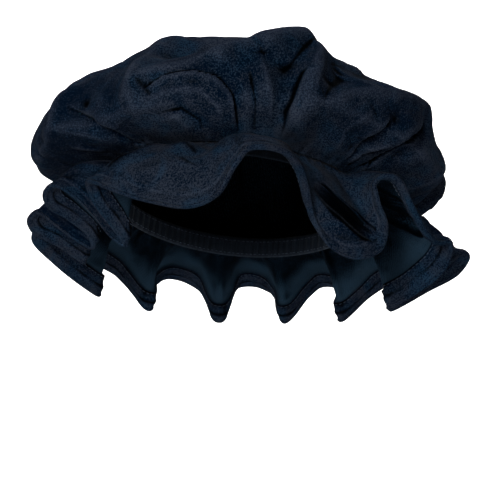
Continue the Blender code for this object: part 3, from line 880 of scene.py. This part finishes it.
def make_frill(velvet, wrong_side):
    """The frill, its rounded hem and the turned-in edge in one sheet."""
    shares = np.linspace(0, 1, FRILL_ROWS + 1) ** FRILL_ROW_PACE
    shares[-1] = 1 - HEM_THICKNESS / 2 / FRILL_WIDTH
    points, normals, down, bends = frill_grid(shares)
    from_casing = shares[:, None] * FRILL_WIDTH
    from_hem = FRILL_WIDTH - from_casing
    free = np.clip(from_casing / GATHER_LENGTH, 0, 1)
    lift = pleats(bends[None, :, 0], from_casing, FRILL_PLEAT_REACH)
    lift += ripples(points, FRILL_RIPPLES) * free
    for height, place, half_width in HEM_FORMS:
        lift += height * hill(from_hem - place, half_width)
    shift, sunk, held = frill_creases(points, normals, bends)
    face = points + normals * lift[..., None] + shift
    fine = -grid_normals(face)
    plain = np.maximum(ramp(shares[:, None], *PLAIN_NORMALS), held)[..., None]
    normals = unit(normals * plain + fine * (1 - plain))
    fold = []
    for turn in np.radians(HEM_TURNS_DEG):
        sink = HEM_THICKNESS / 2 * (1 - np.cos(turn))
        reach = HEM_THICKNESS / 2 * np.sin(turn)
        fold.append(face[-1] - sink * normals[-1] + reach * down[-1])
    facing_rows = np.flatnonzero(shares >= 1 - HEM_WIDTH / FRILL_WIDTH)[::-1]
    facing = [face[row] - HEM_THICKNESS * normals[row] for row in facing_rows]
    last = facing_rows[-1]
    edge = face[last] - (HEM_THICKNESS + CLOTH) / 2 * normals[last] - FACING_TUCK * down[last]
    back = [face[row] - CLOTH * normals[row] for row in range(last - 1, -1, -1)]
    body = np.array([*face, *fold, *facing, edge, *back, face[0]])
    inside = len(face) + len(fold) + len(facing)

    rim = ramp(shares, *RIM)
    # The frill lighter as painted sheen, and its rim, hem fold and facing edge lighter as a painted
    # highlight
    light_and_tone = [
        *between((FRILL_PAINTED_SHEEN, RIM_PAINTED_HIGHLIGHT), rim),
        *np.full(len(fold), RIM_PAINTED_HIGHLIGHT),
        *between((CLOTH_NAP_TONE, RIM_PAINTED_HIGHLIGHT), rim[facing_rows]),
        CLOTH_NAP_TONE,
    ]
    # Painted shade on the wrong side under the arch at the temple
    temple = 1 - TEMPLE_SHADE * hill(bends[:, 0] - TEMPLE_ROOT_DEG, TEMPLE_WIDTH_DEG)
    shade, crisp = nap_and_painted_shade(body)
    nap_and_painted_light = np.full(crisp.shape, CLOTH_NAP_TONE)
    nap_and_painted_light[: inside + 1] = np.array(light_and_tone)[:, None]
    # Painted shade on the wrong side: dark near the casing and under the arch, lighter towards the hem
    nap_and_painted_light[inside + 1 : -1] = ramp(shares[last - 1 :: -1], *BACK_LIGHTER)[:, None] * temple
    # Lighter and darker places on the face, partly for the nap and partly painted light and shade, and
    # painted shade in the tuck
    nap_and_painted_light[: len(face)] += shade[: len(face)] - 0.5 * sunk
    soft = 1 - (1 - RIM_CRISP) * rim
    rest = np.ones(len(body) - inside)
    crisp *= np.array([*soft, *np.full(len(fold), RIM_CRISP), *soft[facing_rows], *rest])[:, None]
    # Painted shade of the tuck, also spread round it on the facing and the wrong side
    painted_tuck_shade = np.zeros(nap_and_painted_light.shape)
    painted_tuck_shade[: len(face)] = sunk
    shaded = sunk
    for _ in range(TUCK_SPREAD):
        shaded = np.max([np.roll(shaded, step, axis) for step in (-1, 0, 1) for axis in (0, 1)], axis=0)
    painted_tuck_shade[len(face) + len(fold) : inside] = shaded[facing_rows]
    painted_tuck_shade[inside + 1 : -1] = shaded[last - 1 :: -1]
    seam = facing[-2][:-1] - STITCH_PROUD * normals[facing_rows[-2]][:-1]
    materials = (velvet, wrong_side)
    return sheet_body("frill_cloth", body, inside, materials, FRILL_MAP, nap_and_painted_light, crisp, painted_tuck_shade), seam


def make_casing(tape):
    """The tape channel inside the gathering line, puckered by the elastic in it."""
    azimuth = np.linspace(0, 360, CASING_COLUMNS + 1)
    angle = np.radians(azimuth)
    pucker = 0.5 + 0.5 * np.sin(CASING_PUCKERS * angle + 2.0 * np.sin(7 * angle) + np.sin(11 * angle))
    rows = []
    shares = np.linspace(-1, 1, CASING_ROWS + 1)
    for share in shares:
        rows.append(ring(azimuth, -CASING_INSET, share * CASING_HEIGHT / 2))
    for share in shares[::-1]:
        depth = CASING_THICKNESS * (1 - CASING_THINNING * share**6)
        depth = depth + CASING_PUCKER * pucker * (1 - PUCKER_FADE * share**4)
        line = ring(azimuth, 0, share * CASING_HEIGHT / 2 * CASING_BACK_SHARE)
        rows.append(line - outward(azimuth) * (CASING_INSET + depth)[:, None])
    rows.append(rows[0])
    seams = [rows[row][:-1] - outward(azimuth[:-1]) * STITCH_PROUD for row in CASING_SEAM_ROWS]
    return sheet_body("casing_tape", np.array(rows), len(rows), (tape,), CASING_MAP), seams


def stitch_tree(material):
    """Geometry nodes that lay running stitches along the edges of a mesh."""
    tree = bpy.data.node_groups.new("running_stitches", "GeometryNodeTree")
    tree.interface.new_socket("Geometry", in_out="INPUT", socket_type="NodeSocketGeometry")
    for name in ("Pitch", "Length", "Thickness"):
        tree.interface.new_socket(name, in_out="INPUT", socket_type="NodeSocketFloat")
    tree.interface.new_socket("Geometry", in_out="OUTPUT", socket_type="NodeSocketGeometry")
    nodes, link = tree.nodes, tree.links.new
    given = nodes.new("NodeGroupInput").outputs
    evenly = nodes.new("GeometryNodeResampleCurve")
    evenly.mode = "LENGTH"
    link(given["Pitch"], evenly.inputs["Length"])
    thread = set_inputs(nodes.new("GeometryNodeMeshUVSphere"), Segments=6, Rings=4, Radius=0.5)
    tangent = nodes.new("GeometryNodeInputTangent")
    turned = nodes.new("FunctionNodeAlignRotationToVector")
    turned.axis = "X"
    link(tangent.outputs["Tangent"], turned.inputs["Vector"])
    size = nodes.new("ShaderNodeCombineXYZ")
    link(given["Length"], size.inputs["X"])
    link(given["Thickness"], size.inputs["Y"])
    link(given["Thickness"], size.inputs["Z"])
    laid = nodes.new("GeometryNodeInstanceOnPoints")
    link(thread.outputs["Mesh"], laid.inputs["Instance"])
    link(turned.outputs["Rotation"], laid.inputs["Rotation"])
    link(size.outputs["Vector"], laid.inputs["Scale"])
    line = nodes.new("GeometryNodeMeshToCurve")
    real = nodes.new("GeometryNodeRealizeInstances")
    coated = set_inputs(nodes.new("GeometryNodeSetMaterial"), Material=material)
    shape = given["Geometry"]
    for node in (line, evenly, laid, real, coated):
        link(shape, node.inputs[0])
        shape = node.outputs[0]
    link(shape, nodes.new("NodeGroupOutput").inputs["Geometry"])
    return tree


def make_stitches(name, seams, tree):
    """Running stitches along closed lines of points."""
    guide = bmesh.new()
    for seam in seams:
        verts = [guide.verts.new(point) for point in seam]
        for start, end in zip(verts, [*verts[1:], verts[0]]):
            guide.edges.new((start, end))
    line = smooth_body("seam_guide", guide)
    modifier = line.modifiers.new("stitches", "NODES")
    modifier.node_group = tree
    sizes = {"Pitch": STITCH_PITCH, "Length": STITCH_LENGTH, "Thickness": STITCH_THICKNESS}
    for socket in tree.interface.items_tree:
        if socket.name in sizes:
            modifier[socket.identifier] = sizes[socket.name]
    laid = bpy.data.meshes.new_from_object(line.evaluated_get(bpy.context.evaluated_depsgraph_get()))
    laid.shade_smooth()
    bpy.data.objects.remove(line)
    return placed(name, laid)


def set_inputs(node, **values):
    for name, value in values.items():
        node.inputs[name.replace("_", " ")].default_value = value
    return node


def maths(tree, operation, *values, clamp=False):
    """A math node whose inputs are the values, links or plain numbers."""
    node = tree.nodes.new("ShaderNodeMath")
    node.operation = operation
    node.use_clamp = clamp
    for socket, value in zip(node.inputs, values):
        if isinstance(value, bpy.types.NodeSocket):
            tree.links.new(value, socket)
        else:
            socket.default_value = value
    return node.outputs[0]


def mixed(tree, share, first, second):
    node = tree.nodes.new("ShaderNodeMix")
    node.data_type = "RGBA"
    tree.links.new(share, node.inputs["Factor"])
    tree.links.new(first, node.inputs["A"])
    tree.links.new(second, node.inputs["B"])
    return node.outputs["Result"]


def napped_group():
    """Napped cloth: slow patches where the nap lies two ways, clouds of another colour, fine grain,
    a painted highlight on folds and painted shade in creases, and a tone that holds both the nap's
    own lightness and painted light and shade."""
    tree = bpy.data.node_groups.new("napped_cloth", "ShaderNodeTree")
    tree.interface.new_socket("Vector", in_out="INPUT", socket_type="NodeSocketVector")
    for name, default in (
        ("Relief", 0.0),
        ("Nap_And_Painted_Light", 0.5),
        ("Nap Down", (0, 0, 0, 1)),
        ("Nap Up", (1, 1, 1, 1)),
        ("Cloud", (1, 1, 1, 1)),
        ("Fold", (1, 1, 1, 1)),
        ("Crease", (0, 0, 0, 1)),
        ("Fold Strength", 0.75),
        ("Crease Strength", 1.3),
        ("Worn Strength", 1.0),
        ("Patch Scale", 55.0),
        ("Patch Strength", 0.5),
        ("Cloud Scale", 34.0),
        ("Cloud Strength", 0.0),
        ("Grain Scale", 1250.0),
        ("Grain Strength", 1.0),
        ("Rib Turns", 2900.0),
        ("Rib Slant", 0.5),
        ("Rib Strength", 0.0),
    ):
        kind = "NodeSocketColor" if isinstance(default, tuple) else "NodeSocketFloat"
        tree.interface.new_socket(name, in_out="INPUT", socket_type=kind).default_value = default
    for name, kind in (("Color", "NodeSocketColor"), ("Height", "NodeSocketFloat")):
        tree.interface.new_socket(name, in_out="OUTPUT", socket_type=kind)
    nodes, link = tree.nodes, tree.links.new
    given = nodes.new("NodeGroupInput").outputs
    result = nodes.new("NodeGroupOutput")

    def noise(scale, **values):
        texture = set_inputs(nodes.new("ShaderNodeTexNoise"), **values)
        link(given["Vector"], texture.inputs["Vector"])
        link(given[scale], texture.inputs["Scale"])
        return texture.outputs["Fac"]

    patches = noise("Patch Scale", Detail=3.0, Roughness=0.55, Distortion=0.8)
    grain = noise("Grain Scale", Detail=2.0, Roughness=0.7)
    clouds = noise("Cloud Scale", Detail=3.0, Roughness=0.5, Distortion=1.6)
    patch = maths(tree, "SUBTRACT", patches, 0.5)
    patch = maths(tree, "MULTIPLY", patch, PATCH_CONTRAST)
    patch = maths(tree, "MULTIPLY", patch, given["Patch Strength"])
    speck = maths(tree, "SUBTRACT", grain, 0.5)
    speck = maths(tree, "MULTIPLY", speck, GRAIN_CONTRAST)
    speck = maths(tree, "MULTIPLY", speck, given["Grain Strength"])
    place = nodes.new("ShaderNodeSeparateXYZ")
    link(given["Vector"], place.inputs["Vector"])
    rib = maths(tree, "MULTIPLY_ADD", place.outputs["Y"], given["Rib Slant"], place.outputs["X"])
    rib = maths(tree, "MULTIPLY", rib, given["Rib Turns"])
    rib = maths(tree, "MULTIPLY_ADD", patches, RIB_WAVER, rib)
    rib = maths(tree, "SINE", rib)
    rib = maths(tree, "MULTIPLY", rib, given["Rib Strength"])
    # The tone input holds the nap's own lightness together with painted light and shade
    light_and_tone = maths(tree, "SUBTRACT", given["Nap_And_Painted_Light"], 0.5)
    light_and_tone = maths(tree, "MULTIPLY", light_and_tone, given["Worn Strength"])
    nap = maths(tree, "ADD", patch, speck)
    nap = maths(tree, "ADD", nap, light_and_tone)
    nap = maths(tree, "ADD", nap, rib)
    nap = maths(tree, "ADD", nap, 0.5, clamp=True)
    cloud = maths(tree, "MULTIPLY_ADD", clouds, CLOUD_CONTRAST, -CLOUD_START, clamp=True)
    cloud = maths(tree, "MULTIPLY", cloud, given["Cloud Strength"], clamp=True)
    colour = mixed(tree, nap, given["Nap Down"], mixed(tree, cloud, given["Nap Up"], given["Cloud"]))
    # Painted highlight on folds, livelier where the nap is lighter
    fold = maths(tree, "SUBTRACT", given["Relief"], RELIEF_FLOOR, clamp=True)
    fold = maths(tree, "MULTIPLY", fold, given["Fold Strength"], clamp=True)
    lively = maths(tree, "MULTIPLY_ADD", nap, 0.9, 0.4)
    fold = maths(tree, "MULTIPLY", fold, lively, clamp=True)
    colour = mixed(tree, fold, colour, given["Fold"])
    # Painted shade in creases and tucks
    sunk = maths(tree, "MULTIPLY_ADD", given["Relief"], -1.0, -RELIEF_FLOOR, clamp=True)
    sunk = maths(tree, "MULTIPLY", sunk, given["Crease Strength"], clamp=True)
    colour = mixed(tree, sunk, colour, given["Crease"])
    link(colour, result.inputs["Color"])
    link(maths(tree, "ADD", grain, rib), result.inputs["Height"])
    return tree


def cloth_material(name, group, coordinates, shader_values, cloth_values, bump):
    """A cloth material on the given coordinates of its piece, Object or UV."""
    material = bpy.data.materials.new(name)
    material.use_nodes = True
    nodes, link = material.node_tree.nodes, material.node_tree.links.new
    shader = set_inputs(nodes["Principled BSDF"], **shader_values)
    where = nodes.new("ShaderNodeTexCoord")
    cloth = nodes.new("ShaderNodeGroup")
    cloth.node_tree = group
    set_inputs(cloth, **cloth_values)
    link(where.outputs[coordinates], cloth.inputs["Vector"])
    for measure in ("relief", "nap_and_painted_light"):
        reading = nodes.new("ShaderNodeAttribute")
        reading.attribute_name = measure
        link(reading.outputs["Fac"], cloth.inputs[measure.title()])
    link(cloth.outputs["Color"], shader.inputs["Base Color"])
    raised = set_inputs(nodes.new("ShaderNodeBump"), Strength=bump[0], Distance=bump[1])
    link(cloth.outputs["Height"], raised.inputs["Height"])
    link(raised.outputs["Normal"], shader.inputs["Normal"])
    return material


def make_materials():
    group = napped_group()
    # In each cloth, Fold is the colour of a painted highlight on folds and Crease that of painted shade
    # in creases and tucks
    velvet = cloth_material(
        "navy_velvet_pile",
        group,
        "Object",
        {"Roughness": 0.9, "Specular_IOR_Level": 0.0, "Sheen_Weight": 0.007, "Sheen_Roughness": 0.3,
         "Sheen_Tint": (0.72, 0.78, 0.88, 1)},
        {"Nap_Down": (0.0002, 0.0014, 0.0042, 1), "Nap_Up": (0.0080, 0.0104, 0.0156, 1),
         "Cloud": (0.0040, 0.0112, 0.0218, 1), "Cloud_Strength": 0.85,
         "Fold": (0.0120, 0.0155, 0.0235, 1), "Crease": (0.0001, 0.0002, 0.0004, 1),
         "Patch_Strength": 0.5, "Grain_Strength": 3.0},
        (0.7, 0.5 * MM),
    )
    wrong_side = cloth_material(
        "navy_knit_back",
        group,
        "UV",
        {"Roughness": 0.9, "Specular_IOR_Level": 0.0, "Sheen_Weight": 0.004, "Sheen_Roughness": 0.4,
         "Sheen_Tint": (0.6, 0.7, 0.8, 1)},
        {"Nap_Down": (0.0002, 0.0006, 0.0012, 1), "Nap_Up": (0.0062, 0.0136, 0.0226, 1),
         "Fold": (0.0060, 0.0120, 0.0190, 1), "Crease": (0.0001, 0.0003, 0.0006, 1),
         "Patch_Strength": 0.2, "Grain_Strength": 0.9, "Rib_Strength": 0.14},
        (0.4, 0.3 * MM),
    )
    tape = cloth_material(
        "navy_tape_weave",
        group,
        "UV",
        {"Roughness": 0.85, "Specular_IOR_Level": 0.05, "Sheen_Weight": 0.01, "Sheen_Roughness": 0.5,
         "Sheen_Tint": (0.7, 0.75, 0.8, 1)},
        {"Nap_Down": (0.0012, 0.0024, 0.0042, 1), "Nap_Up": (0.0035, 0.0062, 0.010, 1),
         "Fold": (0.006, 0.009, 0.014, 1), "Crease": (0.0005, 0.001, 0.002, 1),
         "Patch_Strength": 0.2, "Grain_Strength": 0.9, "Rib_Slant": 0.0, "Rib_Strength": 0.15},
        (0.4, 0.3 * MM),
    )
    thread = cloth_material(
        "navy_thread",
        group,
        "Object",
        {"Roughness": 0.6, "Specular_IOR_Level": 0.1},
        {"Nap_Down": (0.006, 0.010, 0.018, 1), "Nap_Up": (0.014, 0.020, 0.032, 1),
         "Patch_Strength": 0.2, "Grain_Strength": 0.8},
        (0.3, 0.1 * MM),
    )
    return velvet, wrong_side, tape, thread


def area_light(name, place, target, size, power, colour):
    data = bpy.data.lights.new(name, "AREA")
    data.size = size
    data.energy = power
    data.color = colour
    light = placed(name, data)
    light.location = place
    light.rotation_euler = (Vector(target) - Vector(place)).to_track_quat("-Z", "Y").to_euler()


def make_studio():
    """A pale sweep of floor and wall, soft lights and the photograph's camera."""
    profile = [(SWEEP_FRONT, FLOOR_LEVEL), (SWEEP_BEND, FLOOR_LEVEL)]
    for turn in np.radians(np.arange(5, 91, 5)):
        rise = SWEEP_RADIUS * (1 - np.cos(turn))
        profile.append((SWEEP_BEND + SWEEP_RADIUS * np.sin(turn), FLOOR_LEVEL + rise))
    profile.append((SWEEP_BEND + SWEEP_RADIUS, SWEEP_TOP))
    sweep = bmesh.new()
    sides = (-SWEEP_HALF_WIDTH, SWEEP_HALF_WIDTH)
    edges = [[sweep.verts.new((x, y, z)) for y, z in profile] for x in sides]
    for index in range(len(profile) - 1):
        left, right = edges
        sweep.faces.new((left[index], right[index], right[index + 1], left[index + 1]))
    paper = bpy.data.materials.new("studio_paper")
    paper.use_nodes = True
    set_inputs(paper.node_tree.nodes["Principled BSDF"], Base_Color=(0.86, 0.86, 0.86, 1), Roughness=0.9)
    floor = smooth_body("studio_sweep", sweep)
    floor.data.materials.append(paper)

    for light in LIGHTS:
        area_light(*light)
    world = bpy.data.worlds.new("studio_air")
    world.use_nodes = True
    set_inputs(world.node_tree.nodes["Background"], Color=(1, 1, 1, 1), Strength=AIR_LIGHT)
    bpy.context.scene.world = world

    lens = bpy.data.cameras.new("portrait")
    lens.sensor_width = SENSOR
    lens.lens = SENSOR * FOCAL_SHARE
    camera = placed("portrait", lens)
    camera.location = CAMERA_PLACE
    camera.rotation_euler = (np.pi / 2, 0, 0)
    bpy.context.scene.camera = camera
    bpy.context.scene.view_settings.view_transform = "Standard"


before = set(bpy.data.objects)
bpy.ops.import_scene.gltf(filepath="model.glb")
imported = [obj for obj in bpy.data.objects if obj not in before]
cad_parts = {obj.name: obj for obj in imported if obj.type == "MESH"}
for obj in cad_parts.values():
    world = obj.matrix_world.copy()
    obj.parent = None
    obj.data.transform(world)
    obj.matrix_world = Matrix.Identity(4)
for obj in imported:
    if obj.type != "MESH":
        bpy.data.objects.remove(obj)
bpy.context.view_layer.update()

velvet, wrong_side, tape, thread = make_materials()

crown = make_crown(velvet, wrong_side)
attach(crown, "root")
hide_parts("crown")

frill, facing_seam = make_frill(velvet, wrong_side)
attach(frill, "root")
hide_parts("frill", "hem_facing")

casing, casing_seams = make_casing(tape)
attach(casing, "root")
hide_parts("elastic_casing")

stitching = stitch_tree(thread)
for name, seams, slot in (
    ("facing_stitches", [facing_seam], "navy_velvet"),
    ("casing_stitches", casing_seams, "navy_tape"),
):
    stitches = make_stitches(name, seams, stitching)
    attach(stitches, "root")

make_studio()
